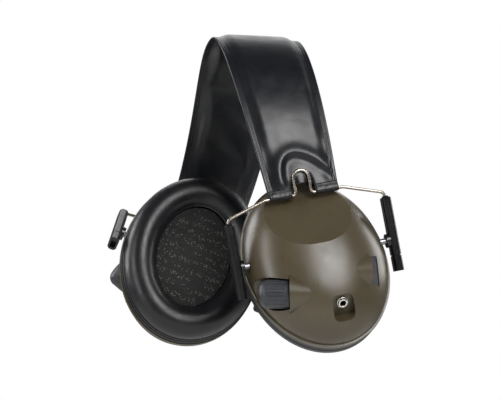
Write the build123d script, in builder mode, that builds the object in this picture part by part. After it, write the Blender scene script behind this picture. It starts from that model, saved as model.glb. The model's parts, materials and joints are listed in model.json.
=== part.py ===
from build123d import *
import math
import os

# Folding electronic earmuff hearing protector, in millimetres.
# +X is the wearer's left, -Y the front, +Z up. The origin is the middle of the
# band's underside, where it rests on the crown of the head.

# --- headband ---------------------------------------------------------------
HALF_SPAN = 66.0  # middle of the band to each hem
BAND_RISE = 115.0  # hem axis to the band's middle layer at the crown
ARCH_POWER = 2.4  # fullness of the arch, 2 being an ellipse
CROWN_WIDTH = 55.0
HEM_WIDTH = 45.0
COVER = 0.95  # leatherette with its backing
OUTER_FACE, INNER_FACE = 2.5, -3.8  # padded middle, either side of the middle layer
FLAT_FACE = 1.3  # the same at the flat welded ends
STRIP_WIDTH, STRIP_THICK = 24.0, 0.6
SLEEVE_R = 2.6
NOTCH_HALF = 7.6  # half the gap between a hem's two sleeves

# --- wire yoke and guides ---------------------------------------------------
WIRE_R = 1.0
RUN = 0.05  # radial clearance of a sliding or turning fit
GUIDE_V = 51.0  # middle of a guide from the yoke's middle
SHOULDER_DROP = 8.0
LOOP_HALF, LOOP_RISE = 5.0, 15.0
LEG_END = 51.0  # how far the legs reach below the hem axis
GUIDE_LENGTH = 47.0
GUIDE_WIDE, GUIDE_DEEP = 6.0, 9.0
PIVOT_DROP = 38.3  # hem axis to the cup's pivot
STUD_R = 2.0

# --- cup --------------------------------------------------------------------
CUP_HALF_W, CUP_HALF_H = 44.5, 56.0
CUP_LOW = 4.0  # middle of the cup below its pivot
CUP_SLANT = 7.0  # the bottom of the cup sits towards the front
RIM = -9.0  # rim of the shell from the pivot, along the outward axis
DOME = 31.0
DOME_POWER = 2.3
WALL = 2.4
LIP = 1.0
PLATE = 3.0
CUSHION = 16.0
EAR_HALF_W, EAR_HALF_H = 24.5, 35.5
FOAM_THICK = 6.5

# --- controls ---------------------------------------------------------------
KNOB_R, KNOB_LENGTH = 9.0, 18.5
KNOB_POCKET_R = 10.4
KNOB_SHAFT_R = 2.0
KNOB_POINTER = 200.0  # where the pointer rib stands round the knob, in degrees
MIC_SLOT_R, MIC_SLOT = 10.3, 7.0
JACK_BORE_R, JACK_DEPTH = 1.8, 14.0
SPEAKER_R = 16.0
SPEAKER_W = -12.0
CELL_R, CELL_LENGTH = 5.25, 44.5

# --- stored pose --------------------------------------------------------------
# sign of X; how far the hem hangs forward (right) or back (left), and how fast
# that fades towards the crown; inward lean of the yoke's legs and of the cup
POSE = {"right": (-1, 22.5, 1.15, 10.0, -11.0), "left": (1, 24.0, 1.9, 50.0, 9.0)}

HEM_Z = -INNER_FACE - BAND_RISE

os.makedirs("parts", exist_ok=True)


class Side:
    """One side of the earmuff: where its hem, yoke and cup stand in the stored pose."""

    def __init__(self, name, sign, drift, fade, leg_lean, cup_lean):
        self.name, self.sign, self.drift, self.fade = name, sign, drift, fade
        lean = sign * math.atan(drift * fade / BAND_RISE)
        self.hem = Plane(
            origin=(sign * HALF_SPAN, sign * drift, HEM_Z),
            x_dir=(1, 0, 0),
            z_dir=(0, -math.sin(lean), math.cos(lean)),
        ).location
        self.yoke = self.hem * Location((0, 0, 0), (0, sign * leg_lean, 0))
        self.cup = self.yoke * Location((0, 0, -PIVOT_DROP), (0, sign * (cup_lean - leg_lean), 0))


SIDES = [Side(name, *values) for name, values in POSE.items()]


def save(piece, name):
    """Label a finished piece and write it."""
    piece.part.label = name
    export_step(piece.part, f"parts/{name}.step")


def save_pair(piece, name, frame):
    """Write a piece drawn for the left side, and its mirror image for the right."""
    for side in SIDES:
        drawn = piece.part if side.sign > 0 else mirror(piece.part, about=Plane.YZ)
        with BuildPart() as seated:
            add(getattr(side, frame) * drawn)
        save(seated, f"{side.name}_{name}")


def aim(origin, direction, across=(0, 0, 1)):
    """Plane at origin whose normal is the given direction."""
    return Plane(origin=origin, x_dir=Vector(*across).cross(Vector(*direction)), z_dir=direction)


# ============================== headband =====================================
def band_station(x, z):
    """Plane square to the band at a point of its arch, x across and y outward."""

    def drift(at_x, at_z):
        side = SIDES[0] if at_x < 0 else SIDES[1]
        return side.sign * side.drift * max(0.0, 1 - at_z / BAND_RISE) ** side.fade

    slope_x = HALF_SPAN ** -ARCH_POWER * abs(x) ** (ARCH_POWER - 1)
    slope_z = BAND_RISE ** -ARCH_POWER * z ** (ARCH_POWER - 1)
    flat = Vector(slope_z, 0, -math.copysign(slope_x, x)).normalized()
    step = 0.01
    rise = (drift(x + flat.X * step, z + flat.Z * step) - drift(x - flat.X * step, z - flat.Z * step))
    along = Vector(flat.X, rise / (2 * step), flat.Z).normalized()
    outward = Vector(-flat.Z, 0, flat.X)
    return Plane(
        origin=(x, drift(x, z), z + HEM_Z), x_dir=outward.cross(along), z_dir=along
    )


def arch_stations(count, low):
    """Evenly spaced points (x, z) of the arch, from the right hem to the left one."""
    dense = []
    first = math.asin((low / BAND_RISE) ** (ARCH_POWER / 2))
    for i in range(1201):
        turn = first + (math.pi - 2 * first) * i / 1200
        x = -math.copysign(HALF_SPAN * abs(math.cos(turn)) ** (2 / ARCH_POWER), math.cos(turn))
        dense.append((x, BAND_RISE * math.sin(turn) ** (2 / ARCH_POWER)))
    lengths = [0.0]
    for a, b in zip(dense, dense[1:]):
        lengths.append(lengths[-1] + math.dist(a, b))
    stations = []
    for i in range(count):
        target = lengths[-1] * i / (count - 1)
        at = min(range(len(lengths)), key=lambda k: abs(lengths[k] - target))
        stations.append(dense[at])
    return stations


def padding(z):
    """0 at the flat welded ends of the band, 1 where it is fully padded."""
    t = min(1.0, max(0.0, (z - 15.0) / 38.0))
    return t * t * (3 - 2 * t)


def band_width(z):
    """Width of the band, narrowing from the crown to the hems."""
    return HEM_WIDTH + (CROWN_WIDTH - HEM_WIDTH) * (1 - (1 - z / BAND_RISE) ** 1.6)


def band_layer(low, high, narrower, fill, least):
    """Loft one layer between two faces given as functions of the padding."""
    sections = []
    for x, z in arch_stations(33, 2.8):
        pad = padding(z)
        if pad < least:
            continue
        with BuildSketch(band_station(x, z)) as section:
            with Locations((0, (low(pad) + high(pad)) / 2)):
                Rectangle(band_width(z) * fill - narrower, high(pad) - low(pad))
        sections.append(section.sketch)
    loft(sections)


def notch_hems(half_width, height):
    """Cut the gap in each hem that the wire loop stands in."""
    with Locations(*[side.hem for side in SIDES]):
        Box(14, 2 * half_width, 2 * height, mode=Mode.SUBTRACT)


with BuildPart() as band_outer_cover:
    band_layer(
        lambda p: FLAT_FACE - COVER + (OUTER_FACE - FLAT_FACE) * p,
        lambda p: FLAT_FACE + (OUTER_FACE - FLAT_FACE) * p,
        0, 1, 0,
    )
    notch_hems(NOTCH_HALF, 9)
    notch_hems(LOOP_HALF + 1.6, LOOP_RISE + 2)
save(band_outer_cover, "band_outer_cover")

with BuildPart() as band_inner_cover:
    band_layer(
        lambda p: -FLAT_FACE + (INNER_FACE + FLAT_FACE) * p,
        lambda p: COVER - FLAT_FACE + (INNER_FACE + FLAT_FACE) * p,
        0, 1, 0,
    )
    notch_hems(NOTCH_HALF, 9)
save(band_inner_cover, "band_inner_cover")

with BuildPart() as band_foam_pad:
    band_layer(
        lambda p: COVER + 0.1 - FLAT_FACE + (INNER_FACE + FLAT_FACE) * p,
        lambda p: 0.5 * p,
        6, 1, 0.3,
    )
save(band_foam_pad, "band_foam_pad")

with BuildPart() as band_spring_strip:
    band_layer(lambda p: 0.55 * p, lambda p: 0.55 * p + STRIP_THICK, -STRIP_WIDTH, 0, 0.95)
save(band_spring_strip, "band_spring_strip")

# A hem is two sleeves rolled round the yoke's wire.
with BuildPart() as hem_sleeve:
    for end in (-1, 1):
        with Locations(Location((0, end * (NOTCH_HALF + HEM_WIDTH / 2) / 2, 0), (90, 0, 0))):
            Cylinder(SLEEVE_R, HEM_WIDTH / 2 - NOTCH_HALF)
            Cylinder(WIRE_R + RUN, HEM_WIDTH / 2 - NOTCH_HALF + 1, mode=Mode.SUBTRACT)
save_pair(hem_sleeve, "hem_sleeve", "hem")

# ============================== wire yoke ====================================
half_path = [
    (GUIDE_V, -LEG_END),
    (GUIDE_V, -SHOULDER_DROP),
    (25.5, 0),
    (LOOP_HALF, 0),
    (LOOP_HALF, LOOP_RISE),
]
wire_points = [(-v, w) for v, w in half_path] + half_path[::-1]
wire_radii = [3.5, 5.0, 2.2, 4.7, 4.7, 2.2, 5.0, 3.5]
with BuildPart() as wire_yoke:
    with BuildLine(Plane.YZ) as wire_path:
        FilletPolyline(*wire_points, radius=wire_radii)
    with BuildSketch(Plane(origin=wire_path.line @ 0, z_dir=wire_path.line % 0)):
        Circle(WIRE_R)
    sweep(path=wire_path.line)
save_pair(wire_yoke, "wire_yoke", "yoke")

# ============================== guides =======================================
# A guide is a moulded bar that slides on a leg; its claw clips on the cup's stud.
for end, place in ((-1, "front_guide"), (1, "rear_guide")):
    inner = end * (GUIDE_V - GUIDE_WIDE / 2)
    with BuildPart() as guide:
        with BuildSketch(Plane.XY.offset(-SHOULDER_DROP - 3.0 - GUIDE_LENGTH)):
            with Locations((0, end * GUIDE_V)):
                RectangleRounded(GUIDE_DEEP, GUIDE_WIDE, 2.4)
        extrude(amount=GUIDE_LENGTH)
        chamfer(guide.faces().sort_by(Axis.Z)[-1].edges(), 0.8)
        # bosses beside the wire on the top end
        with Locations((0, end * GUIDE_V, -SHOULDER_DROP - 3.0)):
            with Locations((-2.6, 0, 0), (2.6, 0, 0)):
                Cylinder(1.3, 1.6)
        # claw round the stud
        with Locations(Location((0, inner - end * 0.6, -PIVOT_DROP), (90, 0, 0))):
            Cylinder(4.4, 2.4)
        # waist above the lower cap
        with BuildSketch(Plane.XY.offset(-SHOULDER_DROP - GUIDE_LENGTH + 6.5)):
            with Locations((0, end * GUIDE_V)):
                RectangleRounded(GUIDE_DEEP + 2, GUIDE_WIDE + 2, 2.4)
                RectangleRounded(GUIDE_DEEP - 1, GUIDE_WIDE - 1, 1.9, mode=Mode.SUBTRACT)
        extrude(amount=0.8, mode=Mode.SUBTRACT)
        # hollow lower end
        with Locations((0, end * GUIDE_V, -SHOULDER_DROP - 3.0 - GUIDE_LENGTH)):
            Box(GUIDE_DEEP - 3, GUIDE_WIDE - 2.6, 10, mode=Mode.SUBTRACT)
        # bore for the leg, and the stud's socket
        with Locations((0, end * GUIDE_V, -SHOULDER_DROP)):
            Cylinder(
                WIRE_R + RUN, LEG_END - SHOULDER_DROP + 0.5,
                align=(Align.CENTER, Align.CENTER, Align.MAX), mode=Mode.SUBTRACT,
            )
        with Locations(Location((0, inner, -PIVOT_DROP), (90, 0, 0))):
            Cylinder(STUD_R + RUN, 2.4, mode=Mode.SUBTRACT)
            with Locations((0, 0, end * 1.0)):
                Cylinder(STUD_R + RUN, 3.4, mode=Mode.SUBTRACT)
    save_pair(guide, place, "yoke")

# ============================== ear cup shell ================================
KNOB_AXIS = Vector(-0.16, 0.95, 0.24).normalized()
KNOB_SEAT = Vector(8.5, 24.5, -26.5)
MIC_AXIS = Vector(-0.2, -0.96, -0.1).normalized()
MIC_SEAT = Vector(9.3, -25.5, -22.0)
JACK_AXIS = Vector(0.6, 0, -0.8)
JACK_SEAT = Vector(12.5, -5.0, -39.0)
PILLARS = [(-28, 18), (28, 18), (-20, -44), (20, -44)]
FACET_NORMAL = Vector(34, 0, 12.5).normalized()
knob_out, knob_in = aim(KNOB_SEAT, KNOB_AXIS), aim(KNOB_SEAT, -KNOB_AXIS)
mic_out, mic_in = aim(MIC_SEAT, MIC_AXIS), aim(MIC_SEAT, -MIC_AXIS)
jack_out = Plane(origin=JACK_SEAT, x_dir=(0, 1, 0), z_dir=JACK_AXIS)
UP = (Align.CENTER, Align.CENTER, Align.MIN)


def dome(shrink):
    """Loft the oval dome, smaller all round by the given amount, flattened near its top."""
    sections = []
    for k in (1, 0.985, 0.94, 0.86, 0.75, 0.6, 0.42, 0.24, 0.08):
        rise = (DOME - shrink) * (1 - k**DOME_POWER) ** (1 / DOME_POWER)
        with BuildSketch(Plane.YZ.offset(RIM + rise)) as section:
            with Locations((0, -CUP_LOW)):
                Ellipse((CUP_HALF_W - shrink) * k, (CUP_HALF_H - shrink) * k, rotation=-CUP_SLANT)
        sections.append(section.sketch)
    loft(sections)
    facet = Plane(origin=Vector(19, 0, 6) - FACET_NORMAL * shrink, z_dir=FACET_NORMAL)
    split(bisect_by=facet, keep=Keep.BOTTOM)


def oval_plate(start, thick, half_w, half_h, mode=Mode.ADD):
    """Extrude the cup outline outward from a level."""
    with BuildSketch(Plane.YZ.offset(start)) as outline:
        with Locations((0, -CUP_LOW)):
            Ellipse(half_w, half_h, rotation=-CUP_SLANT)
    extrude(outline.sketch, amount=thick, mode=mode)


with BuildPart() as cavity:
    dome(WALL)
    with Locations(knob_out.offset(-WALL)):
        Cylinder(KNOB_POCKET_R + WALL, 40, align=UP, mode=Mode.SUBTRACT)
    with Locations(mic_out.offset(-WALL)):
        Cylinder(MIC_SLOT_R + WALL, MIC_SLOT + 2 * WALL, align=UP, mode=Mode.SUBTRACT)
    with BuildSketch(jack_out.offset(-WALL)):
        with Locations((0, -2)):
            RectangleRounded(14 + 2 * WALL, 15 + 2 * WALL, 6)
    extrude(amount=30, mode=Mode.SUBTRACT)
    with BuildSketch(Plane.YZ.offset(RIM)):
        with Locations(*PILLARS):
            Circle(2.8)
    extrude(amount=30, mode=Mode.SUBTRACT)

with BuildPart() as ear_shell:
    dome(0)
    with Locations(knob_in):
        Cone(12.8, 0.5, 30, align=UP)
    with Locations(mic_in):
        Cone(12.0, 0.5, 28, align=UP)
    oval_plate(RIM, 3.0, CUP_HALF_W + LIP, CUP_HALF_H + LIP)
    add(cavity.part, mode=Mode.SUBTRACT)
    with Locations(knob_out):
        Cylinder(KNOB_POCKET_R, 40, align=UP, mode=Mode.SUBTRACT)
    with Locations(knob_in):
        Cylinder(KNOB_SHAFT_R + 0.5, WALL + 1, align=UP, mode=Mode.SUBTRACT)
    with Locations(mic_out):
        Cylinder(MIC_SLOT_R, MIC_SLOT, align=UP, mode=Mode.SUBTRACT)
    with Locations(mic_in):
        Cylinder(3.05, 12, align=UP, mode=Mode.SUBTRACT)
    with BuildSketch(jack_out):
        with Locations((0, -2)):
            RectangleRounded(14, 15, 4)
    extrude(amount=30, mode=Mode.SUBTRACT)
    with Locations(jack_out):
        Cylinder(3.05, 2 * WALL + 1, mode=Mode.SUBTRACT)
    for end in (-1, 1):
        with Locations(Location((0, end * 43, 0), (90, 0, 0))):
            Cylinder(STUD_R + 0.02, 8, mode=Mode.SUBTRACT)
    with BuildSketch(Plane.YZ.offset(RIM)):
        with Locations(*PILLARS):
            Circle(1.25)
    extrude(amount=10, mode=Mode.SUBTRACT)
save_pair(ear_shell, "ear_shell", "cup")

with BuildPart() as pivot_studs:
    for end in (-1, 1):
        with Locations(Location((0, end * 44.9, 0), (90, 0, 0))):
            Cylinder(STUD_R, 8.6)
save_pair(pivot_studs, "pivot_studs", "cup")

# ============================== seal side ====================================
with BuildPart() as seal_plate:
    oval_plate(RIM - PLATE, PLATE, CUP_HALF_W + 0.4, CUP_HALF_H + 0.4)
    with BuildSketch(Plane.YZ.offset(RIM - PLATE)):
        with Locations((0, SPEAKER_W)):
            Circle(SPEAKER_R + 0.2)
        with Locations(*PILLARS):
            Circle(1.25)
    extrude(amount=PLATE, mode=Mode.SUBTRACT)
save_pair(seal_plate, "seal_plate", "cup")

with BuildPart() as plate_screws:
    for v, w in PILLARS:
        with Locations(Location((RIM - PLATE, v, w), (0, 90, 0))):
            Cylinder(1.2, 10, align=UP)
            Cylinder(2.2, 1.2, align=(Align.CENTER, Align.CENTER, Align.MAX))
save_pair(plate_screws, "plate_screws", "cup")

with BuildPart() as ear_cushion:
    oval_plate(RIM - PLATE - CUSHION, CUSHION, CUP_HALF_W + 0.2, CUP_HALF_H + 0.2)
    fillet(ear_cushion.faces().sort_by(Axis.X)[0].edges(), 6.5)
    oval_plate(RIM - PLATE - CUSHION, CUSHION, EAR_HALF_W, EAR_HALF_H, Mode.SUBTRACT)
    fillet(ear_cushion.faces().sort_by(Axis.X)[0].edges().sort_by(SortBy.LENGTH)[0], 5.0)
    for v, w in PILLARS:
        with Locations(Location((RIM - PLATE - 1.6, v, w), (0, 90, 0))):
            Cylinder(2.6, 4, align=UP, mode=Mode.SUBTRACT)
save_pair(ear_cushion, "ear_cushion", "cup")

with BuildPart() as acoustic_foam:
    oval_plate(RIM - PLATE - 1.5 - FOAM_THICK, FOAM_THICK, EAR_HALF_W - 0.3, EAR_HALF_H - 0.3)
save_pair(acoustic_foam, "acoustic_foam", "cup")

# ============================== electronics ==================================
with BuildPart() as speaker:
    with Locations(Location((RIM - PLATE - 0.6, 0, SPEAKER_W), (0, 90, 0))):
        Cylinder(SPEAKER_R, 5.5, align=UP)
        Cylinder(SPEAKER_R - 5, 9.0, align=UP)
save_pair(speaker, "speaker", "cup")

BOX_U = -2.6
CELL_W = [11.7, 23.3]
with BuildPart() as battery_box:
    with Locations((BOX_U, 0, 17.5)):
        Box(12.2, CELL_LENGTH + 1.6, 23.6)
    for w in CELL_W:
        with Locations(Location((BOX_U, 0, w), (90, 0, 0))):
            Cylinder(CELL_R + 0.15, CELL_LENGTH + 0.2, mode=Mode.SUBTRACT)
save_pair(battery_box, "battery_box", "cup")

with BuildPart() as battery_cells:
    for w in CELL_W:
        with Locations(Location((BOX_U, 0, w), (90, 0, 0))):
            Cylinder(CELL_R, CELL_LENGTH - 1)
        with Locations(Location((BOX_U, CELL_LENGTH / 2 - 0.2, w), (90, 0, 0))):
            Cylinder(1.9, 0.6)
save_pair(battery_cells, "battery_cells", "cup")

with BuildPart() as circuit_board:
    with Locations((1.6, 0, -9.5)):
        Box(1.6, 35, 27, align=(Align.MIN, Align.CENTER, Align.CENTER))
    for v, w, size in ((-10, -14, 9), (6, -8, 7), (-8, 0, 5)):
        with Locations((0.3, v, w)):
            Box(1.4, size, size, align=(Align.MIN, Align.CENTER, Align.CENTER))
save_pair(circuit_board, "circuit_board", "cup")

with BuildPart() as potentiometer:
    with Locations(knob_in.offset(WALL + 0.3)):
        Cylinder(3.9, 5.6, align=UP)
        Cylinder(KNOB_SHAFT_R + RUN, 5.0, align=UP, mode=Mode.SUBTRACT)
save_pair(potentiometer, "potentiometer", "cup")

# The volume knob has a fluted grip, a pointer rib and its own shaft.
with BuildPart() as volume_knob:
    with Locations(knob_out.offset(0.6)):
        Cylinder(KNOB_R, KNOB_LENGTH, align=UP)
    fillet(volume_knob.faces().sort_by(Axis.Y)[-1].edges(), 5.5)
    with Locations(knob_out.offset(3.0)):
        with PolarLocations(KNOB_R + 0.25, 22):
            Cylinder(0.55, KNOB_LENGTH, align=UP, mode=Mode.SUBTRACT)
    with Locations(knob_out.offset(1.0)):
        with PolarLocations(KNOB_R - 0.2, 1, start_angle=KNOB_POINTER):
            Box(1.4, 1.6, 13.0, align=UP)
    with Locations(knob_in):
        Cylinder(KNOB_SHAFT_R, WALL + 4.6, align=UP)
        with Locations((0, 0, -1.2)):
            Cylinder(KNOB_SHAFT_R, 2, align=UP)
save_pair(volume_knob, "volume_knob", "cup")

with BuildPart() as jack_socket:
    with Locations(jack_out):
        with Locations((0, 0, -WALL - 0.1)):
            Box(8, 8, JACK_DEPTH - 2, align=(Align.CENTER, Align.CENTER, Align.MAX))
        Cylinder(3.0, 2 * (WALL + 0.2))
        with Locations((0, 0, WALL + 0.2)):
            Cylinder(
                JACK_BORE_R, JACK_DEPTH,
                align=(Align.CENTER, Align.CENTER, Align.MAX), mode=Mode.SUBTRACT,
            )
save_pair(jack_socket, "jack_socket", "cup")

with BuildPart() as jack_nut:
    with Locations(jack_out):
        Cylinder(3.8, 2.0, align=UP)
        Cylinder(3.02, 2.0, align=UP, mode=Mode.SUBTRACT)
save_pair(jack_nut, "jack_nut", "cup")

with BuildPart() as microphone:
    with Locations(mic_in):
        Cylinder(3.0, 3.5, align=UP)
save_pair(microphone, "microphone", "cup")

# Open-cell windscreen: a disc in the slot, trimmed just below the dome.
with BuildPart() as mic_windscreen:
    dome(0.4)
    with Locations(mic_out.offset(0.1)):
        Cylinder(MIC_SLOT_R - 0.2, MIC_SLOT - 0.3, align=UP, mode=Mode.INTERSECT)
save_pair(mic_windscreen, "mic_windscreen", "cup")
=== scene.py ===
"""Folding electronic earmuff hearing protector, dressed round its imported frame."""

import json
import logging
import math
from collections.abc import Callable, Sequence
from dataclasses import dataclass, field
from enum import Enum
from typing import Any

import bmesh
import bpy
from mathutils import Matrix, Vector, noise


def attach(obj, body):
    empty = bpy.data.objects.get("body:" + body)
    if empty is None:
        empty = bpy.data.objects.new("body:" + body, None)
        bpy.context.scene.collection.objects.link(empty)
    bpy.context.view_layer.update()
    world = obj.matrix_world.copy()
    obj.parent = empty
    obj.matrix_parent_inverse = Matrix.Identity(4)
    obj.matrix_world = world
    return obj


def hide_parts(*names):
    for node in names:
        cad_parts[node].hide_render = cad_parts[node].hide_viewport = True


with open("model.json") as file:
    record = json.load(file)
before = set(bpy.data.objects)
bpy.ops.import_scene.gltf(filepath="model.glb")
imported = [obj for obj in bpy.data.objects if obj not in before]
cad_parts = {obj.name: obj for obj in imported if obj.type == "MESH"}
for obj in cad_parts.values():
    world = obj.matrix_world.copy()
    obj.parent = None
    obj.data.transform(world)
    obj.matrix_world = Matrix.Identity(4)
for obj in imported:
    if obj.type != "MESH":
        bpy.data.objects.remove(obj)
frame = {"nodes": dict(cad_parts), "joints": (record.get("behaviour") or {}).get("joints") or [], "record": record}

LOG = logging.getLogger("earmuff")
MM = 0.001
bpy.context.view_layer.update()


class Grain(Enum):
    """How the fine relief of a surface is drawn."""

    SPARK = "spark-eroded mould texture"
    PEBBLE = "embossed leather pebble"
    CELLS = "open foam cells"
    DRAWN = "lines left by a drawing die"


class Flank(Enum):
    """A side of the earmuff; the value is the sign of X."""

    RIGHT = -1
    LEFT = 1

    @property
    def label(self) -> str:
        """Prefix of the side's node and body names."""
        return self.name.lower()


def linear(hex_colour: str) -> tuple[float, float, float, float]:
    """Turn an sRGB hex colour into linear RGBA.

    Args:
        hex_colour: Six hex digits with a leading hash.

    Returns:
        The linear colour with an alpha of one.
    """
    parts = [int(hex_colour[i : i + 2], 16) / 255 for i in (1, 3, 5)]
    lin = [c / 12.92 if c <= 0.04045 else ((c + 0.055) / 1.055) ** 2.4 for c in parts]
    return (lin[0], lin[1], lin[2], 1.0)


def smooth(t: float) -> float:
    """Ease from 0 to 1 with level ends, clamped outside them."""
    t = min(1.0, max(0.0, t))
    return t * t * (3 - 2 * t)


def add_node(
    tree: bpy.types.NodeTree,
    kind: str,
    settings: dict[str, Any] | None = None,
    inputs: dict[str | int, Any] | None = None,
) -> bpy.types.Node:
    """Add a shader node with its settings, constants and links.

    Args:
        tree: The node tree it joins.
        kind: The node's type name.
        settings: Properties of the node.
        inputs: A constant or an output socket for each input, by name or index.

    Returns:
        The new node.
    """
    node = tree.nodes.new(kind)
    for key, value in (settings or {}).items():
        setattr(node, key, value)
    for key, value in (inputs or {}).items():
        if isinstance(value, bpy.types.NodeSocket):
            tree.links.new(value, node.inputs[key])
        else:
            node.inputs[key].default_value = value
    return node


@dataclass(frozen=True)
class Finish:
    """A finish: what the material is and how its surface was made."""

    name: str
    slot: str
    colour: str
    shade: str
    rough: tuple[float, float]
    grain: Grain
    grain_mm: float
    relief_mm: float
    mottle_mm: float = 22.0
    ripple_mm: float = 0.0
    ripple_relief_mm: float = 0.0
    metallic: float = 0.0
    ior: float = 1.5
    coat: float = 0.0
    sheen: float = 0.0
    # colour of the painted glints, bright points painted into the base colour, and the share of cells that get one
    glint: str = ""
    glint_share: float = 0.0

    def _relief(self, tree: bpy.types.NodeTree, where: Any) -> Any:
        """Draw the grain as a height from 0 to 1.

        Args:
            tree: The material's node tree.
            where: Coordinates in metres.

        Returns:
            The height's output socket.
        """
        scale = 1.0 / (self.grain_mm * MM)
        if self.grain is Grain.PEBBLE:
            cell = add_node(tree, "ShaderNodeTexVoronoi", {"feature": "SMOOTH_F1"},
                            {"Vector": where, "Scale": scale, "Smoothness": 0.55})
            return add_node(tree, "ShaderNodeMath", {"operation": "SUBTRACT"},
                            {0: 1.0, 1: cell.outputs["Distance"]}).outputs[0]
        if self.grain is Grain.CELLS:
            cell = add_node(tree, "ShaderNodeTexVoronoi", {"feature": "F1"},
                            {"Vector": where, "Scale": scale})
            fine = add_node(tree, "ShaderNodeTexNoise", {},
                            {"Vector": where, "Scale": scale * 1.7, "Detail": 3.0})
            return add_node(tree, "ShaderNodeMath", {"operation": "MULTIPLY"},
                            {0: cell.outputs["Distance"], 1: fine.outputs[0]}).outputs[0]
        detail = 2.0 if self.grain is Grain.SPARK else 6.0
        return add_node(tree, "ShaderNodeTexNoise", {},
                        {"Vector": where, "Scale": scale, "Detail": detail}).outputs[0]

    def material(self) -> bpy.types.Material:
        """Build the finish's material, or find it if it is already built.

        Returns:
            The material.
        """
        made = bpy.data.materials.get(self.name)
        if made:
            return made
        made = bpy.data.materials.new(self.name)
        made.use_nodes = True
        tree = made.node_tree
        shader = tree.nodes["Principled BSDF"]
        where = add_node(tree, "ShaderNodeTexCoord").outputs["Object"]
        mottle = add_node(tree, "ShaderNodeTexNoise", {},
                          {"Vector": where, "Scale": 1 / (self.mottle_mm * MM), "Detail": 5.0})
        spread = add_node(tree, "ShaderNodeMapRange", {},
                          {"Value": mottle.outputs[0], "From Min": 0.35, "From Max": 0.65})
        tint = add_node(tree, "ShaderNodeMix", {"data_type": "RGBA"},
                        {0: spread.outputs[0], 6: linear(self.colour), 7: linear(self.shade)})
        colour = tint.outputs[2]
        if self.glint:
            # painted glints: bright points mixed into the base colour where the walls of cut foam cells would
            # catch the light
            spark = add_node(tree, "ShaderNodeTexVoronoi", {},
                             {"Vector": where, "Scale": 1 / (1.1 * self.grain_mm * MM)})
            near = add_node(tree, "ShaderNodeMath", {"operation": "LESS_THAN"},
                            {0: spark.outputs["Distance"], 1: 0.33})
            level = add_node(tree, "ShaderNodeSeparateColor", {}, {0: spark.outputs["Color"]})
            some = add_node(tree, "ShaderNodeMath", {"operation": "LESS_THAN"},
                            {0: level.outputs[0], 1: self.glint_share})
            both = add_node(tree, "ShaderNodeMath", {"operation": "MULTIPLY"},
                            {0: near.outputs[0], 1: some.outputs[0]})
            colour = add_node(tree, "ShaderNodeMix", {"data_type": "RGBA"},
                              {0: both.outputs[0], 6: colour, 7: linear(self.glint)}).outputs[2]
        tree.links.new(colour, shader.inputs["Base Color"])
        handling = add_node(tree, "ShaderNodeTexNoise", {},
                            {"Vector": where, "Scale": 1 / (0.4 * self.mottle_mm * MM),
                             "Detail": 4.0, "Distortion": 0.6})
        rough = add_node(tree, "ShaderNodeMapRange", {},
                         {"Value": handling.outputs[0], "From Min": 0.3, "From Max": 0.7,
                          "To Min": self.rough[0], "To Max": self.rough[1]})
        tree.links.new(rough.outputs[0], shader.inputs["Roughness"])
        relief = add_node(tree, "ShaderNodeBump", {},
                          {"Height": self._relief(tree, where), "Strength": 1.0,
                           "Distance": self.relief_mm * MM})
        if self.ripple_mm:
            # slack in the skin, far broader than its grain
            slack = add_node(tree, "ShaderNodeTexNoise", {},
                             {"Vector": where, "Scale": 1 / (self.ripple_mm * MM), "Detail": 2.0})
            relief = add_node(tree, "ShaderNodeBump", {},
                              {"Height": slack.outputs[0], "Strength": 1.0,
                               "Distance": self.ripple_relief_mm * MM,
                               "Normal": relief.outputs[0]})
        tree.links.new(relief.outputs[0], shader.inputs["Normal"])
        shader.inputs["Metallic"].default_value = self.metallic
        if not self.metallic:
            shader.inputs["IOR"].default_value = self.ior
        shader.inputs["Coat Weight"].default_value = self.coat
        shader.inputs["Coat Roughness"].default_value = 0.25
        shader.inputs["Sheen Weight"].default_value = self.sheen
        return made


# Calendered PVC under a semi-gloss lacquer: near black, with long soft highlights that break up
# over its slack. The pebble is drawn coarser than a real one so that it shows.
LEATHERETTE = Finish(
    "PVC leatherette, calendered and embossed", "leatherette", "#090a0e", "#101116",
    (0.29, 0.41), Grain.PEBBLE, 1.8, 0.014, 30.0, 19.0, 0.35, ior=1.44, coat=0.06,
)
# Thinner and softer than the band's cover: a round, oily highlight that follows the ring. Its
# pebble is drawn coarser than real too.
CUSHION_SKIN = Finish(
    "PVC skin, vacuum formed over foam", "cushion", "#08080a", "#0f0f12",
    (0.31, 0.43), Grain.PEBBLE, 1.7, 0.045, 26.0, 13.0, 0.12, ior=1.46, coat=0.04,
)
# Slabstock foam cut with a wire: a dull dark face, with painted glints, bright points painted
# into its colour where cut cell walls would catch the light. The cells are drawn coarse enough to show.
SLAB_FOAM = Finish(
    "polyurethane foam, wire-cut open cell", "acoustic_foam", "#161616", "#1f1e1d",
    (0.85, 0.98), Grain.CELLS, 0.9, 0.5, 20.0, sheen=0.1, glint="#6d6a62", glint_share=0.3,
)
# Reticulated foam has no cell windows: a flat grey that swallows highlights. Its cells are
# drawn a little coarser than real.
WIND_FOAM = Finish(
    "reticulated foam, die-cut", "windscreen", "#2f2f33", "#3a3a3e",
    (0.85, 0.95), Grain.CELLS, 0.7, 0.3, 9.0, sheen=0.15,
)
# Satin paint on moulded ABS: broad soft highlights with no sharp edge. The mould's texture is
# drawn coarser than real, and is only just seen.
SHELL = Finish(
    "ABS, injection moulded, satin olive paint", "shell", "#4b4230", "#433b2a",
    (0.27, 0.36), Grain.SPARK, 1.3, 0.012, 30.0, ior=1.52,
)
# Acetal from a polished mould: black with thin bright lines along its edges. The faint
# unevenness is drawn coarser than real.
GUIDE = Finish(
    "acetal, injection moulded, polished mould", "guide", "#09090a", "#101012",
    (0.17, 0.27), Grain.SPARK, 1.6, 0.002, 12.0,
)
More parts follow.
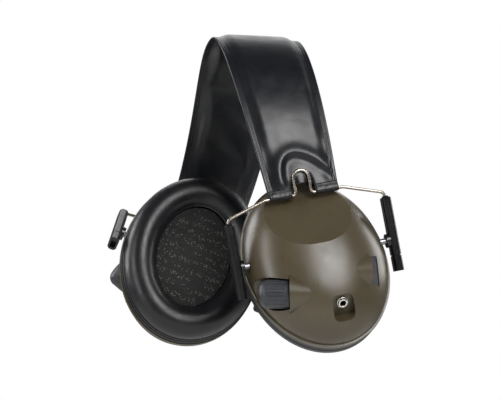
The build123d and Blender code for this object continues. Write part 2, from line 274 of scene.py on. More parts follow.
# Polypropylene from a textured mould: an even charcoal that scatters the light. The texture
# is drawn coarser than real.
PLATE = Finish(
    "polypropylene, injection moulded, textured mould", "plate", "#121213", "#1a1a1b",
    (0.42, 0.58), Grain.SPARK, 0.35, 0.03, 16.0,
)
# Soft elastomer: a dusty blue-grey with blurred highlights on its ribs. Its texture is drawn
# coarser than real.
KNOB = Finish(
    "thermoplastic elastomer, moulded", "knob", "#2a2b30", "#34353a",
    (0.38, 0.50), Grain.SPARK, 0.3, 0.012, 7.0,
)
# Drawn stainless wire: warm grey with one bright line along it. The die's lines are drawn
# coarser than real.
WIRE = Finish(
    "stainless steel wire, cold drawn", "wire", "#b3aaa0", "#9d958b",
    (0.18, 0.30), Grain.DRAWN, 0.25, 0.004, 6.0, metallic=1.0,
)
# Rolled strip: a plain grey metal, blurred by the rolls. Its lines are drawn coarser than real.
SPRING = Finish(
    "spring steel strip, cold rolled", "spring_steel", "#8f9093", "#7b7c80",
    (0.28, 0.40), Grain.DRAWN, 0.4, 0.004, 9.0, metallic=1.0,
)
# Bright nickel over turned brass: nearly a mirror, a little warm. The tool's lines are drawn
# coarser than real.
NICKEL = Finish(
    "brass, turned and bright nickel plated", "nickel", "#dad7cf", "#cbc7bd",
    (0.08, 0.16), Grain.DRAWN, 0.2, 0.004, 3.0, metallic=1.0,
)
# Zinc plate: a cool, slightly cloudy metal. Its crystals are drawn coarser than real.
STEEL = Finish(
    "steel, zinc plated", "steel", "#a9aaac", "#8e9092",
    (0.26, 0.40), Grain.SPARK, 0.3, 0.006, 4.0, metallic=1.0,
)
# Solder mask over glass cloth: a glossy deep green. The cloth's weave is drawn as plain
# unevenness, coarser than its threads.
BOARD = Finish(
    "glass-epoxy laminate under solder mask", "electronics", "#0f4a2a", "#0b3a22",
    (0.30, 0.42), Grain.SPARK, 0.5, 0.01, 6.0,
)
# A printed sleeve over a steel can: dark, with a metallic gleam. Its lines are drawn coarser
# than real.
CELL = Finish(
    "steel cell can, printed sleeve", "cell", "#3b3d42", "#2e3035",
    (0.25, 0.38), Grain.DRAWN, 0.4, 0.006, 8.0, metallic=0.6,
)
# Plain upholstery foam: a dull mid grey with no highlight. Its cells are about their real size.
PAD_FOAM = Finish(
    "polyurethane foam, die-cut strip", "pad_foam", "#3a3a3c", "#444446",
    (0.85, 0.95), Grain.CELLS, 0.8, 0.3, 12.0,
)

CAD_FINISHES: dict[str, Finish] = {
    "band_spring_strip": SPRING, "wire_yoke": WIRE, "front_guide": GUIDE, "rear_guide": GUIDE,
    "ear_shell": SHELL, "pivot_studs": STEEL, "seal_plate": PLATE, "plate_screws": STEEL,
    "speaker": PLATE, "battery_box": PLATE, "battery_cells": CELL, "circuit_board": BOARD,
    "potentiometer": STEEL, "volume_knob": KNOB, "jack_socket": PLATE, "microphone": NICKEL,
}


def grid_piece(name: str, rows: Sequence[Sequence[Vector]], loop: bool = False) -> bpy.types.Object:
    """Make a closed mesh from rows of points, each row a closed ring.

    Args:
        name: The piece's name.
        rows: Rings of points in metres, all of one length.
        loop: Whether the last ring joins the first; otherwise both ends are capped.

    Returns:
        The new object, smooth shaded, with its faces turned outward.
    """
    mesh = bpy.data.meshes.new(name)
    bm = bmesh.new()
    rings = [[bm.verts.new(p) for p in row] for row in rows]
    pairs = list(zip(rings, rings[1:])) + ([(rings[-1], rings[0])] if loop else [])
    for a, b in pairs:
        for i in range(len(a)):
            j = (i + 1) % len(a)
            bm.faces.new((a[i], a[j], b[j], b[i]))
    if not loop:
        bm.faces.new(rings[0])
        bm.faces.new(rings[-1])
    bmesh.ops.recalc_face_normals(bm, faces=bm.faces)
    for face in bm.faces:
        face.smooth = True
    bm.to_mesh(mesh)
    bm.free()
    piece = bpy.data.objects.new(name, mesh)
    bpy.context.scene.collection.objects.link(piece)
    return piece


def dress(piece: bpy.types.Object, finish: Finish, body: str, *stands_for: str) -> None:
    """Give a new piece its finish and its body, and say which CAD nodes it stands for.

    Args:
        piece: The new piece.
        finish: Its finish.
        body: The body it rides on.
        stands_for: CAD nodes that it replaces.
    """
    piece.data.materials.clear()
    piece.data.materials.append(finish.material())
    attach(piece, body)
    if stands_for:
        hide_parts(*stands_for)
    LOG.info("%s: %d vertices, on %s, for %s", piece.name, len(piece.data.vertices), body,
             ", ".join(stands_for) or "nothing else")


@dataclass
class Seat:
    """A side's own axes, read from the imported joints: u outward, v to the rear, w up."""

    flank: Flank

    def joint(self, motion: str) -> dict[str, Any]:
        """Find one of this side's joints."""
        name = f"{self.flank.label}_{motion}"
        return next(j for j in frame["joints"] if j["name"] == name)

    def mount(self, name: str) -> dict[str, Any]:
        """Find one of this side's mounts."""
        mounts = frame["record"]["mounts"]
        return next(m for m in mounts if m["name"] == f"{self.flank.label}_{name}")

    def _axes(self, origin: Vector, u: Vector, v: Vector) -> Matrix:
        """Build a matrix from millimetres in (u, v, w) to metres in the frame.

        Args:
            origin: Where the axes meet, in metres.
            u: Direction outward.
            v: Direction to the rear.

        Returns:
            The matrix.
        """
        w = u.cross(v) * self.flank.value
        columns = Matrix((u, v, w)).transposed() * MM
        return Matrix.Translation(origin) @ columns.to_4x4()

    def hem(self) -> Matrix:
        """Find the hem's axes, at the middle of the wire.

        Returns:
            The matrix from the hem's millimetres to the frame.
        """
        fold = self.joint("fold")
        return self._axes(Vector(fold["pos_m"]), Vector((self.flank.value, 0, 0)),
                          Vector(fold["axis"]).normalized())

    def cup(self) -> Matrix:
        """Find the cup's axes, at its pivot.

        Returns:
            The matrix from the cup's millimetres to the frame.
        """
        tilt = self.joint("tilt")
        outward = -Vector(self.mount("seal_face")["axis"]).normalized()
        return self._axes(Vector(tilt["pos_m"]), outward, -Vector(tilt["axis"]).normalized())


@dataclass
class Headband:
    """The padded band: two welded leatherette covers, in millimetres from the crown."""

    half_span: float = 66.0
    rise: float = 115.0
    inner_face: float = 3.8
    outer_face: float = 2.5
    flat_face: float = 1.3
    edge_face: float = 0.62
    arch_power: float = 2.4
    hem_width: float = 45.0
    crown_width: float = 55.0
    drift: dict[Flank, tuple[float, float]] = field(
        default_factory=lambda: {Flank.RIGHT: (22.5, 1.15), Flank.LEFT: (24.0, 1.9)}
    )
    rows: int = 560
    notch_half: float = 7.5
    notch_depth: float = 3.6
    weld_lines: tuple[float, float] = (1.9, 3.3)
    weld_pitch: float = 1.5
    crest: tuple[tuple[float, float], ...] = (
        (11.5, 2.0), (12.6, 13.0), (9.5, 23.0), (1.5, 26.8),
        (-8.5, 23.2), (-16.5, 16.4), (-23.0, 9.5),
    )
    sleeve_r: float = 2.15
    bore_r: float = 1.06
    stations: int = 4000
    welded_edge: float = 8.2
    weld_half: float = 0.32
    crest_stand: float = 1.35
    crest_top: float = 44.0
    stop_lean: float = 10.0
    loop_knee: float = 10.3
    loop_leg: float = 5.0
    loop_r: float = 4.7
    loop_back: float = 1.12

    def __post_init__(self) -> None:
        """Lay the arch's stations out evenly along its length."""
        power = 2 / self.arch_power
        first = math.asin((2.9 / self.rise) ** (1 / power))
        dense: list[tuple[float, float]] = []
        for i in range(self.stations + 1):
            turn = first + (math.pi - 2 * first) * i / self.stations
            across = abs(math.cos(turn)) ** power
            dense.append((-math.copysign(self.half_span * across, math.cos(turn)),
                          self.rise * math.sin(turn) ** power))
        self.lengths = [0.0]
        for a, b in zip(dense, dense[1:]):
            self.lengths.append(self.lengths[-1] + math.dist(a, b))
        self.dense = dense
        self.length = self.lengths[-1]
        self.fold_line = self._fold_line()

    def shift(self, x: float, z: float) -> float:
        """Find how far the band hangs forward or back at a point of its arch.

        Args:
            x: Place across the head.
            z: Height above the hem's axis.

        Returns:
            The distance to the rear.
        """
        flank = Flank.RIGHT if x < 0 else Flank.LEFT
        reach, fade = self.drift[flank]
        return flank.value * reach * max(0.0, 1 - z / self.rise) ** fade

    def station(self, s: float) -> tuple[Vector, Vector, Vector, float]:
        """Find the band's middle at a length along it.

        Args:
            s: Length along the arch from the right hem.

        Returns:
            The point, the direction across, the direction outward, and the height
            above the hem's axis.
        """
        low, high = 0, len(self.lengths) - 1
        while high - low > 1:
            mid = (low + high) // 2
            if self.lengths[mid] <= s:
                low = mid
            else:
                high = mid
        t = (s - self.lengths[low]) / (self.lengths[high] - self.lengths[low])
        x = self.dense[low][0] * (1 - t) + self.dense[high][0] * t
        z = self.dense[low][1] * (1 - t) + self.dense[high][1] * t
        slope_x = self.half_span ** -self.arch_power * abs(x) ** (self.arch_power - 1)
        slope_z = self.rise ** -self.arch_power * z ** (self.arch_power - 1)
        flat = Vector((slope_z, 0, -math.copysign(slope_x, x))).normalized()
        step = 0.05
        turn = (self.shift(x + flat.x * step, z + flat.z * step)
                - self.shift(x - flat.x * step, z - flat.z * step)) / (2 * step)
        along = Vector((flat.x, turn, flat.z)).normalized()
        outward = Vector((-flat.z, 0, flat.x))
        across = outward.cross(along).normalized()
        point = Vector((x, self.shift(x, z), z + self.inner_face - self.rise))
        return point, across, outward, z

    def columns(self) -> list[float]:
        """List places across the hem, closer together at the welds and beside the notch.

        Returns:
            The places, from one edge to the other.
        """
        near = [0.0, 0.12, 0.4, 0.8, 1.2, 1.55, 1.9, 2.25, 2.6, 2.95, 3.3, 3.65, 4.1, 4.8, 5.8, 7,
                self.welded_edge]
        edge = [self.hem_width / 2 - d for d in near]
        inner = [12.9, 11.6, 10.4, 9.4, 8.6, 8.0, 7.62, 7.45, 7.2, 6.8, 6.2, 5.5, 4.8, 4.1, 3.2,
                 2.2, 1.1]
        half = edge + inner
        return [-v for v in half] + [0.0] + half[::-1]

    def place(self, v: float, width: float) -> float:
        """Carry a place across the hem to a station of another width.

        Args:
            v: Place across the hem.
            width: The band's width at the station.

        Returns:
            The place across the station.
        """
        fixed = self.hem_width / 2 - self.welded_edge
        if abs(v) >= fixed:
            return math.copysign(width / 2 - (self.hem_width / 2 - abs(v)), v)
        return v * (width / 2 - self.welded_edge) / fixed

    def weld(self, from_edge: float, s: float) -> float:
        """Find the depth of the pressed weld lines: a fine groove with a regular pip in it.

        Args:
            from_edge: Distance in from the band's edge.
            s: Length along the arch.

        Returns:
            The depth.
        """
        depth = 0.0
        for at in self.weld_lines:
            groove = math.exp(-(((from_edge - at) / self.weld_half) ** 2))
            depth += groove * (0.20 + 0.12 * math.cos(2 * math.pi * s / self.weld_pitch))
        return depth

    def _fold_line(self) -> list[tuple[float, float]]:
        """Draw a smooth line through the crest's places, from the rear hem to the front edge.

        Returns:
            The line's points, across and up from the hem's axis.
        """
        knots = [self.crest[0], *self.crest, self.crest[-1]]
        line = []
        for a, b, c, d in zip(knots, knots[1:], knots[2:], knots[3:]):
            for k in range(8):
                t = k / 8
                line.append(tuple(
                    0.5 * (2 * q + (r - p) * t + (2 * p - 5 * q + 4 * r - e) * t * t
                           + (3 * q - p - 3 * r + e) * t**3)
                    for p, q, r, e in zip(a, b, c, d)))
        return line + [self.crest[-1]]

    def pucker(self, v: float, w: float) -> float:
        """Fold that the wire loop pulls into the outer cover near a hem.

        Args:
            v: Place across, to the rear.
            w: Height above the hem's axis.

        Returns:
            How far the surface stands out from its plain shape.
        """
        if w > self.crest_top:
            return 0.0
        near, side = 1e9, 1.0
        for (av, aw), (bv, bw) in zip(self.fold_line, self.fold_line[1:]):
            dv, dw, pv, pw = bv - av, bw - aw, v - av, w - aw
            t = min(1.0, max(0.0, (pv * dv + pw * dw) / (dv * dv + dw * dw)))
            gap = math.hypot(pv - t * dv, pw - t * dw)
            if gap < near:
                near, side = gap, dv * pw - dw * pv
        inside = side > 0
        stand = self.crest_stand * math.exp(-((near / (2.3 if inside else 4.2)) ** 2))
        if inside:
            stand -= 0.4 * math.exp(-(((near - 5.0) / 2.6) ** 2))
        else:
            stand -= 0.25 * math.exp(-(((near - 9.5) / 4.0) ** 2))
        return stand * smooth((w - 2.0) / 7.0) * smooth((self.hem_width / 2 - abs(v)) / 4.0)

    def loop_dent(self, v: float, w: float, face: float) -> float:
        """Lower a face where the wire loop presses it, at the lean where it stops.

        Args:
            v: Place across, to the rear.
            w: Height above the hem's axis.
            face: How far the face stands out.

        Returns:
            How far it stands out under the loop.
        """
        lean = math.radians(self.stop_lean)
        up = w / math.cos(lean)
        if up > 21 or abs(v) > 11:
            return face
        wire = up * math.sin(lean) - self.loop_back
        if up < self.loop_knee:
            gap = abs(abs(v) - self.loop_leg)
        else:
            gap = abs(math.hypot(v, up - self.loop_knee) - self.loop_r)
        press = math.exp(-((max(0.0, gap - 1.0) / 1.3) ** 2))
        return face + (min(face, wire) - face) * press

    def faces(self, v: float, s: float, z: float, half: float) -> tuple[float, float, float, float]:
        """Work out the four faces of the two covers at one place.

        Args:
            v: Place across, from the middle.
            s: Length along the arch.
            z: Height above the hem's axis.
            half: Half the band's width here.

        Returns:
            Outer cover's face and back, inner cover's top and face, outward positive.
        """
        pad = smooth((z - 15.0) / 38.0)
        from_edge = half - abs(v)
        swell = smooth((from_edge - 3.4) / 6.5)
        outer = self.edge_face + (self.flat_face + (self.outer_face - self.flat_face) * pad
                                  - self.edge_face) * swell
        inner = self.edge_face + (self.flat_face + (self.inner_face - 0.25 - self.flat_face) * pad
                                  - self.edge_face) * smooth((from_edge - 3.4) / 8.0)
        crown = 0.25 * pad * (1 - (v / half) ** 2)
        outer += crown * swell
        inner += crown * swell
        body = smooth((from_edge - 4.2) / 8.0)
        place = Vector((s / 24.0, v / 75.0, 3.1))
        outer += 0.16 * pad * noise.noise(place * 1.3) * body
        # the lining is on the short side of the bend, so it gathers in cross folds
        fold = noise.noise(place + Vector((0.35 * math.sin(v / 14.0), 0, 5.0)))
        inner += pad * body * (1.25 * math.tanh(3.2 * fold) - 0.75)
        rolled = smooth(from_edge / 0.5) ** 0.5
        outer = 0.1 + (outer - 0.1) * rolled - self.weld(from_edge, s)
        inner = 0.1 + (inner - 0.1) * rolled - self.weld(from_edge, s)
        outer += self.pucker(v, z)
        outer = self.loop_dent(v, z, outer)
        inner = min(inner, self.inner_face + 0.6)
        thick = 0.34 + 0.5 * smooth((outer - 0.5) / 1.2)
        back = outer - min(thick, 0.8 * abs(outer) + 0.25)
        top = min(0.5 * pad - 0.06, back - 0.05)
        low = min(-inner, top - 0.35)
        return outer, back, top, low

    def skin(
        self, name: str, pick: Callable[[tuple[float, float, float, float]], tuple[float, float]]
    ) -> bpy.types.Object:
        """Build one cover as a closed mesh.

        Args:
            name: The piece's name.
            pick: Takes the cover's upper and lower face from the four faces.

        Returns:
            The cover.
        """
        places = self.columns()
        rings: list[list[Vector]] = []
        for i in range(self.rows):
            share = i / (self.rows - 1)
            upper: list[Vector] = []
            lower: list[Vector] = []
            for hem_v in places:
                notch = self.notch_depth * (1 - smooth((abs(hem_v) - 7.2) / 0.5))
                s = notch + share * (self.length - 2 * notch)
                point, across, outward, z = self.station(s)
                width = self.hem_width + (self.crown_width - self.hem_width) * (
                    1 - (1 - z / self.rise) ** 1.6)
                v = self.place(hem_v, width)
                # across runs from front to rear on the right half of the arch too
                v_frame = v * math.copysign(1.0, across.y)
                high, low = pick(self.faces(v_frame, s, z, width / 2))
                base = point + across * v
                upper.append((base + outward * high) * MM)
                lower.append((base + outward * low) * MM)
            rings.append(upper + lower[::-1])
        return grid_piece(name, rings)

    def sleeve(self, seat: Seat, end: int) -> bpy.types.Object:
        """Build one rolled sleeve of a hem, open along the wire's bore.

        Args:
            seat: The side's axes.
            end: -1 for the front sleeve, 1 for the rear one.

        Returns:
            The sleeve.
        """
        r = self.sleeve_r
        outline: list[tuple[float, float]] = []
        neck = self.flat_face + 0.05
        for w in (4.8, 4.0, 3.2, 2.4, 1.6, 0.8):
            t = (4.8 - w) / 4.0
            outline.append((neck * 0.98 + (r - neck) * smooth(t) ** 0.9, w))
        arc = [math.pi * (k + 0.5) / 22 for k in range(22)]
        lower = [(r * math.cos(a), 0.5 - (r + 0.05) * math.sin(a)) for a in arc]
        ring = outline + lower + [(-u, w) for u, w in outline[::-1]]
        ring += [(-neck * 0.5, 5.0), (0.0, 5.05), (neck * 0.5, 5.0)]
        hollow = []
        for u, w in ring:
            angle = math.atan2(w, u)
            hollow.append((self.bore_r * math.cos(angle), self.bore_r * math.sin(angle)))
        length = self.hem_width / 2 - self.notch_half
        rows: list[list[Vector]] = []
        count = 40
        steps = [0.0, 0.02, 0.05] + [k / count for k in range(3, count - 2)] + [0.95, 0.98, 1.0]
        for t in steps:
            round_off = min(t, 1 - t) * length
            shrink = 1 - 0.16 * (1 - smooth(round_off / 0.9)) ** 2
            v = self.notch_half + 0.1 + t * (length - 0.1)
            row = []
            for u, w in ring:
                gather = 0.09 * noise.noise(Vector((v * 0.55, w * 0.3, u * 0.3 + end * 4)))
                k = shrink + (gather if w < 4 else 0.0)
                row.append(Vector((u * k, end * v, w * (k if w < 0 else 1.0))))
            rows.append(row)
        for v in (self.hem_width / 2, self.notch_half + 0.1):
            rows.append([Vector((u, end * v, w)) for u, w in hollow])
        matrix = seat.hem()
        name = f"{seat.flank.label}_{'rear' if end > 0 else 'front'}_rolled_hem"
        return grid_piece(name, [[matrix @ p for p in row] for row in rows], loop=True)

    def build(self, seats: Sequence[Seat]) -> None:
        """Build and dress the covers and the rolled hems.

        Args:
            seats: The axes of both sides.
        """
        outer = self.skin("band_outer_skin", lambda f: (f[0], f[1]))
        dress(outer, LEATHERETTE, "headband", "band_outer_cover")
        inner = self.skin("band_padded_lining", lambda f: (f[2], f[3]))
        dress(inner, LEATHERETTE, "headband", "band_inner_cover", "band_foam_pad")
        for seat in seats:
            for end in (-1, 1):
                roll = self.sleeve(seat, end)
                dress(roll, LEATHERETTE, "headband", f"{seat.flank.label}_hem_sleeve")


@dataclass
class EarCup:
    """The soft and turned pieces of one cup, in millimetres in its own axes."""

    seat: Seat
    low: float = -4.0
    slant: float = 7.0
    plate_face: float = -12.0
    outer_half: tuple[float, float] = (44.6, 56.1)
    inner_half: tuple[float, float] = (24.6, 35.6)
    around: int = 168
    foam_half: tuple[float, float] = (24.1, 35.1)
    foam_around: int = 132
    foam_rings: int = 26
    wind_voxel: float = 0.4
    turned_around: int = 144
    jack_seat: tuple[float, float, float] = (12.5, -5.0, -39.0)
    jack_axis: tuple[float, float, float] = (0.6, 0.0, -0.8)

    def on_oval(self, u: float, v: float, w: float) -> Vector:
        """Turn a place drawn on the upright oval to the cup's slant.

        Args:
            u: Distance outward.
            v: Distance to the rear.
            w: Distance up.

        Returns:
            The place in the frame, in metres.
        """
        a = math.radians(self.slant)
        across = v * math.cos(a) + w * math.sin(a)
        up = w * math.cos(a) - v * math.sin(a)
        return self.seat.cup() @ Vector((u, across, up + self.low))

    def profile(self) -> list[tuple[float, float]]:
        """Draw the cushion's section.

        Returns:
            Share of the way from opening to rim, and height off the plate.
        """
        return [
            (0.035, 0.05), (0.0, 0.25), (-0.004, 2.0), (0.0, 4.5), (0.002, 6.6), (0.006, 7.9),
            (-0.006, 8.15), (-0.012, 8.45), (-0.006, 8.8), (0.012, 9.0), (0.026, 9.5),
            (0.05, 10.4), (0.088, 11.7), (0.14, 13.0), (0.205, 14.2),
            (0.28, 15.1), (0.36, 15.7), (0.45, 15.97), (0.54, 15.95), (0.63, 15.6), (0.72, 14.9),
            (0.80, 13.8), (0.87, 12.3), (0.925, 10.5), (0.962, 8.6), (0.985, 6.6), (0.993, 4.9),
            (0.985, 3.7), (0.955, 2.9), (0.93, 2.45), (0.955, 2.1), (0.992, 1.9), (1.0, 1.55),
            (1.0, 0.6), (0.992, 0.15), (0.965, 0.05), (0.94, 0.5), (0.92, 1.4), (0.5, 1.45),
            (0.08, 1.4), (0.055, 0.5),
        ]

    def cushion(self) -> bpy.types.Object:
        """Build the sealing cushion: a crowned ring, slack at its opening.

        Returns:
            The cushion.
        """
        section = self.profile()
        rows: list[list[Vector]] = []
        for i in range(self.around):
            angle = 2 * math.pi * i / self.around
            c, s = math.cos(angle), math.sin(angle)
            row = []
            for r, h in section:
                grown = 0.0
                if h > 6.5 and r < 0.5:
                    # gathers where the skin turns down into the opening
                    near = math.exp(-(((r - 0.08) / 0.12) ** 2))
                    grown = near * 0.011 * (noise.noise(Vector((c * 7, s * 7, 2.0)))
                                            + 0.5 * noise.noise(Vector((c * 17, s * 17, 9.0))))
                share = r + grown
                v = (self.inner_half[0] + (self.outer_half[0] - self.inner_half[0]) * share) * c
                w = (self.inner_half[1] + (self.outer_half[1] - self.inner_half[1]) * share) * s
                place = Vector((c * 1.6, s * 1.6, r * 1.5 + self.seat.flank.value))
                sag = 0.28 * noise.noise(place)
                height = h + (sag - 0.3 if h > 9 else 0.0) * smooth((h - 9) / 4)
                row.append(self.on_oval(self.plate_face - height, v, w))
            rows.append(row)
        piece = grid_piece(f"{self.seat.flank.label}_sealing_cushion", rows, loop=True)
        finer = piece.modifiers.new("finer", "SUBSURF")
        finer.levels = finer.render_levels = 1
        return bake_modifiers(piece)

    def foam(self) -> bpy.types.Object:
        """Build the acoustic foam: a soft-edged slab with an uneven cut face.

        Returns:
            The foam.
        """
        section = [(0.0, 8.0)] + [(k / self.foam_rings, 8.0) for k in range(1, self.foam_rings)]
        section += [(0.985, 7.75), (1.0, 7.2), (1.0, 4.5), (1.0, 1.9), (0.97, 1.56), (0.0, 1.56)]
        rows: list[list[Vector]] = []
        for r, h in section:
            if r == 0.0:
                r = 0.002
            row = []
            for i in range(self.foam_around):
                angle = 2 * math.pi * i / self.foam_around
                v = self.foam_half[0] * r * math.cos(angle)
                w = self.foam_half[1] * r * math.sin(angle)
                lift = 0.0
                if h > 7:
                    lift = 0.35 * noise.noise(Vector((v / 9, w / 9, 1.0)))
                    lift += 0.22 * noise.noise(Vector((v / 1.6, w / 1.6, 4.0))) - 0.35
                row.append(self.on_oval(self.plate_face - h - lift, v, w))
            rows.append(row)
        return grid_piece(f"{self.seat.flank.label}_foam_liner", rows)

    def windscreen(self) -> bpy.types.Object:
        """Build the microphone's foam from its slot's shape, with a torn-cell surface.

        Returns:
            The foam.
        """
        node = f"{self.seat.flank.label}_mic_windscreen"
        piece = frame["nodes"][node].copy()
        piece.data = piece.data.copy()
        for key in list(piece.keys()):
            if key.startswith("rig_"):
                del piece[key]
        piece.parent = None
        piece.name = f"{self.seat.flank.label}_wind_foam"
        piece.data.name = piece.name
        bpy.context.scene.collection.objects.link(piece)
        remesh = piece.modifiers.new("cells", "REMESH")
        remesh.mode = "VOXEL"
        remesh.voxel_size = self.wind_voxel * MM
        piece = bake_modifiers(piece)
        normals = [v.normal.copy() for v in piece.data.vertices]
        for vertex, normal in zip(piece.data.vertices, normals):
            vertex.co += normal * MM * (0.16 * noise.noise(vertex.co / (0.9 * MM)) - 0.14)
        for polygon in piece.data.polygons:
            polygon.use_smooth = True
        return piece

    def lathe(self, name: str, section: Sequence[tuple[float, float]], teeth: int, depth: float
              ) -> bpy.types.Object:
        """Turn a closed section round the jack's axis.

        Args:
            name: The piece's name.
            section: Radius and height above the seat.
            teeth: Knurl teeth round the outside.
            depth: How deep the knurl is.

        Returns:
            The turned piece.
        """
        axis = Vector(self.jack_axis).normalized()
        first = Vector((0.0, 1.0, 0.0))
        second = axis.cross(first)
        widest = max(r for r, _ in section)
        rows = []
        for i in range(self.turned_around):
            angle = 2 * math.pi * i / self.turned_around
            cut = depth * (0.5 - 0.5 * math.cos(teeth * angle))
            row = []
            for r, h in section:
                radius = r - (cut if r > widest - 0.05 else 0.0)
                place = (Vector(self.jack_seat) + axis * h
                         + (first * math.cos(angle) + second * math.sin(angle)) * radius)
                row.append(self.seat.cup() @ place)
            rows.append(row)
        return grid_piece(name, rows, loop=True)

    def build(self) -> None:
        """Build and dress the cup's cushion, foams and jack."""
        side = self.seat.flank.label
        body = f"{side}_cup"
        cushion = self.cushion()
        dress(cushion, CUSHION_SKIN, body, f"{side}_ear_cushion")
        foam = self.foam()
        dress(foam, SLAB_FOAM, body, f"{side}_acoustic_foam")
        wind = self.windscreen()
        dress(wind, WIND_FOAM, body, f"{side}_mic_windscreen")
        nut = self.lathe(f"{side}_knurled_nut", [
            (3.06, 0.05), (3.65, 0.05), (3.78, 0.18), (3.8, 0.3), (3.8, 0.7), (3.8, 1.5),
            (3.76, 1.7), (3.6, 1.92), (3.3, 1.98), (3.12, 1.9), (3.06, 1.7),
        ], 36, 0.12)
        dress(nut, NICKEL, body, f"{side}_jack_nut")
        bush = self.lathe(f"{side}_threaded_bush", [
            (1.86, 2.62), (1.86, 2.8), (2.0, 2.98), (2.5, 3.04), (2.85, 2.98), (3.0, 2.86),
            (2.9, 2.76), (3.02, 2.7), (3.02, 2.62), (2.4, 2.61),
        ], 0, 0.0)
        dress(bush, NICKEL, body)


def bake_modifiers(piece: bpy.types.Object) -> bpy.types.Object:
    """Replace a piece's mesh with what its modifiers make of it.

    Args:
        piece: The piece.

    Returns:
        The same piece, with no modifiers left.
    """
    graph = bpy.context.evaluated_depsgraph_get()
    graph.update()
    mesh = bpy.data.meshes.new_from_object(piece.evaluated_get(graph))
    mesh.name = piece.name
    piece.modifiers.clear()
    piece.data = mesh
    return piece


def dress_nodes() -> None:
    """Give every CAD node the finish of its material."""
    for name, node in frame["nodes"].items():
        key = name.split("_", 1)[1] if name.startswith(("right_", "left_")) else name
        finish = CAD_FINISHES.get(key)
        if finish is None:
            finish = PAD_FOAM if key == "band_foam_pad" else LEATHERETTE
        node.data.materials.clear()
        node.data.materials.append(finish.material())
        LOG.info("%s: %s", name, finish.name)


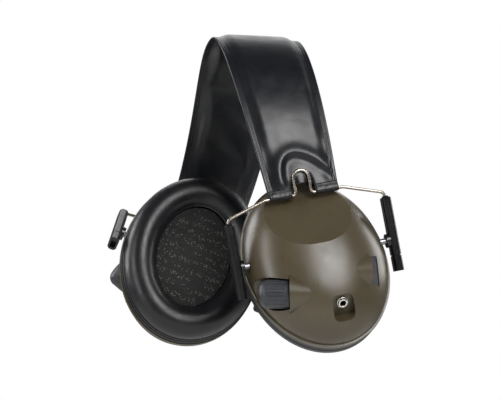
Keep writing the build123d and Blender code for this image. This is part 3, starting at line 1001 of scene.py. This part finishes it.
@dataclass
class Studio:
    """The pale floor, the soft boxes and the camera, in metres."""

    target: tuple[float, float, float] = (0.0, 0.0, -0.1)
    azimuth: float = 260.0
    elevation: float = -14.0
    distance: float = 2.4
    lens: float = 269.8
    floor_z: float = -0.7
    floor_reach: float = 6.0
    floor_glow: float = 0.62
    room_light: float = 0.18
    sensor_mm: float = 36.0
    # name, azimuth, elevation, distance, width and height, watts
    softboxes: tuple[tuple[str, float, float, float, tuple[float, float], float], ...] = (
        ("key_softbox", 284, 20, 1.5, (0.6, 0.8), 17),
        ("side_softbox", 206, 12, 1.5, (0.45, 1.2), 9),
        ("low_softbox", 250, -38, 1.4, (0.9, 0.3), 2.5),
        ("back_softbox", 80, 48, 1.5, (1.0, 1.0), 5),
        ("front_softbox", 10, 28, 1.6, (0.8, 1.0), 13),
        ("rear_softbox", 150, 24, 1.6, (0.8, 1.0), 13),
    )

    def towards(self, azimuth: float, elevation: float) -> Vector:
        """Direction from the target to a place round it, 0 being the front."""
        a, e = math.radians(azimuth), math.radians(elevation)
        return Vector((math.sin(a) * math.cos(e), -math.cos(a) * math.cos(e), math.sin(e)))

    def aim(self, thing: bpy.types.Object, direction: Vector, distance: float) -> None:
        """Put a light or the camera out along a direction, facing the target.

        Args:
            thing: The light or the camera.
            direction: Direction from the target.
            distance: Distance from the target, in metres.
        """
        thing.location = Vector(self.target) + direction * distance
        thing.rotation_euler = (-direction).to_track_quat("-Z", "Y").to_euler()
        bpy.context.scene.collection.objects.link(thing)

    def softbox(self, name: str, azimuth: float, elevation: float, distance: float,
                size: tuple[float, float], watts: float) -> None:
        """Add a soft rectangular light.

        Args:
            name: The light's name.
            azimuth: Where it stands, in degrees.
            elevation: Height above the target, in degrees.
            distance: Distance from the target.
            size: Width and height.
            watts: Power.
        """
        light = bpy.data.lights.new(name, "AREA")
        light.shape = "RECTANGLE"
        light.size, light.size_y = size
        light.energy = watts
        self.aim(bpy.data.objects.new(name, light), self.towards(azimuth, elevation), distance)

    def floor(self) -> None:
        """Lay a broad pale floor."""
        mesh = bpy.data.meshes.new("studio_floor")
        reach = self.floor_reach
        mesh.from_pydata([(-reach, -reach, self.floor_z), (reach, -reach, self.floor_z),
                          (reach, reach, self.floor_z), (-reach, reach, self.floor_z)],
                         [], [(0, 1, 2, 3)])
        slab = bpy.data.objects.new("studio_floor", mesh)
        material = bpy.data.materials.new("seamless paper, matt coated")
        material.use_nodes = True
        tree = material.node_tree
        tree.nodes.clear()
        # lit from inside for the viewer only, so that it stays pale without greying the object
        paper = add_node(tree, "ShaderNodeBsdfDiffuse", {},
                         {"Color": linear("#f4f4f2"), "Roughness": 0.9})
        glow = add_node(tree, "ShaderNodeEmission", {},
                        {"Color": linear("#f6f7f8"), "Strength": self.floor_glow})
        bright = add_node(tree, "ShaderNodeAddShader", {},
                          {0: paper.outputs[0], 1: glow.outputs[0]})
        path = add_node(tree, "ShaderNodeLightPath")
        both = add_node(tree, "ShaderNodeMixShader", {},
                        {0: path.outputs["Is Camera Ray"], 1: paper.outputs[0],
                         2: bright.outputs[0]})
        add_node(tree, "ShaderNodeOutputMaterial", {}, {"Surface": both.outputs[0]})
        mesh.materials.append(material)
        bpy.context.scene.collection.objects.link(slab)

    def surround(self) -> None:
        """Show a white room to the camera and a dimmer one to the object's reflections."""
        world = bpy.data.worlds.new("studio")
        bpy.context.scene.world = world
        world.use_nodes = True
        tree = world.node_tree
        tree.nodes.clear()
        path = add_node(tree, "ShaderNodeLightPath")
        seen = add_node(tree, "ShaderNodeBackground", {},
                        {"Color": linear("#ffffff"), "Strength": 1.0})
        felt = add_node(tree, "ShaderNodeBackground", {},
                        {"Color": linear("#e9edf5"), "Strength": self.room_light})
        both = add_node(tree, "ShaderNodeMixShader", {},
                        {0: path.outputs["Is Camera Ray"], 1: felt.outputs[0], 2: seen.outputs[0]})
        add_node(tree, "ShaderNodeOutputWorld", {}, {"Surface": both.outputs[0]})

    def build(self) -> None:
        """Set the whole studio."""
        self.floor()
        self.surround()
        for box in self.softboxes:
            self.softbox(*box)
        camera = bpy.data.cameras.new("camera")
        camera.lens = self.lens
        camera.sensor_width = self.sensor_mm
        holder = bpy.data.objects.new("camera", camera)
        self.aim(holder, self.towards(self.azimuth, self.elevation), self.distance)
        bpy.context.scene.camera = holder


def main() -> None:
    """Build every sub-assembly in order."""
    logging.basicConfig(level=logging.INFO, format="%(message)s")
    bpy.context.scene.view_settings.view_transform = "Standard"
    dress_nodes()
    seats = [Seat(flank) for flank in Flank]
    Headband().build(seats)
    for seat in seats:
        EarCup(seat).build()
    Studio().build()
    bpy.context.view_layer.update()


if __name__ == "__main__":
    main()
